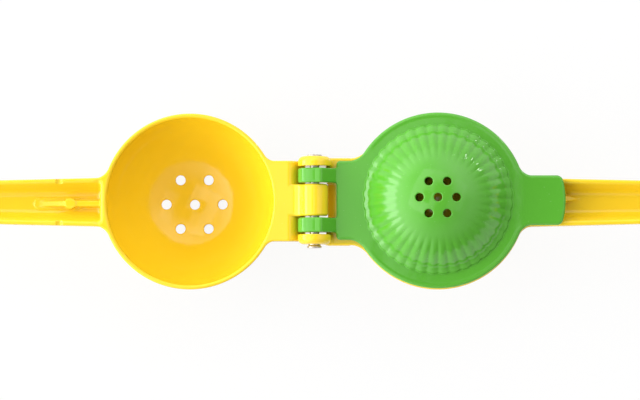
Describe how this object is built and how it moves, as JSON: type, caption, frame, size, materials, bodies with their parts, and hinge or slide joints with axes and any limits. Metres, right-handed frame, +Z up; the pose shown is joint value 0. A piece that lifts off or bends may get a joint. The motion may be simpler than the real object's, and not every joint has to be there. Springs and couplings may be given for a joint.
{
  "type": "hinged citrus squeezer",
  "caption": "Hinged citrus squeezer laid open flat: perforated lemon bowl, fluted lime insert nested on a handled plunger press, joined by a steel pin.",
  "frame": {"origin": "under the hinge pin's axis, midway between the two handle tips and between the two sides, level with the foot of the lemon bowl", "axes": "+X along the press handle, +Y along the hinge pin, +Z up, out of the open lemon bowl"},
  "size_m": [0.41, 0.0756, 0.0582],
  "materials": {
    "yellow_enamel": "glossy yellow enamel paint over die-cast aluminium",
    "green_enamel": "glossy green enamel paint over die-cast aluminium",
    "pin_steel": "bright plain steel"
  },
  "bodies": {
    "bowl": {"lemon_bowl": "yellow_enamel"},
    "insert": {"lime_insert": "green_enamel"},
    "press": {"press_handle": "yellow_enamel", "hinge_pin": "pin_steel"}
  },
  "joints": [
    {"name": "insert_hinge", "type": "hinge", "parent": "bowl", "child": "insert", "pos_m": [0, 0, 0.03805], "axis": [0, -1, 0], "range_deg": [0, 180]},
    {"name": "press_hinge", "type": "hinge", "parent": "insert", "child": "press", "pos_m": [0, 0, 0.03805], "axis": [0, -1, 0], "range_deg": [-55, 0]}
  ]
}
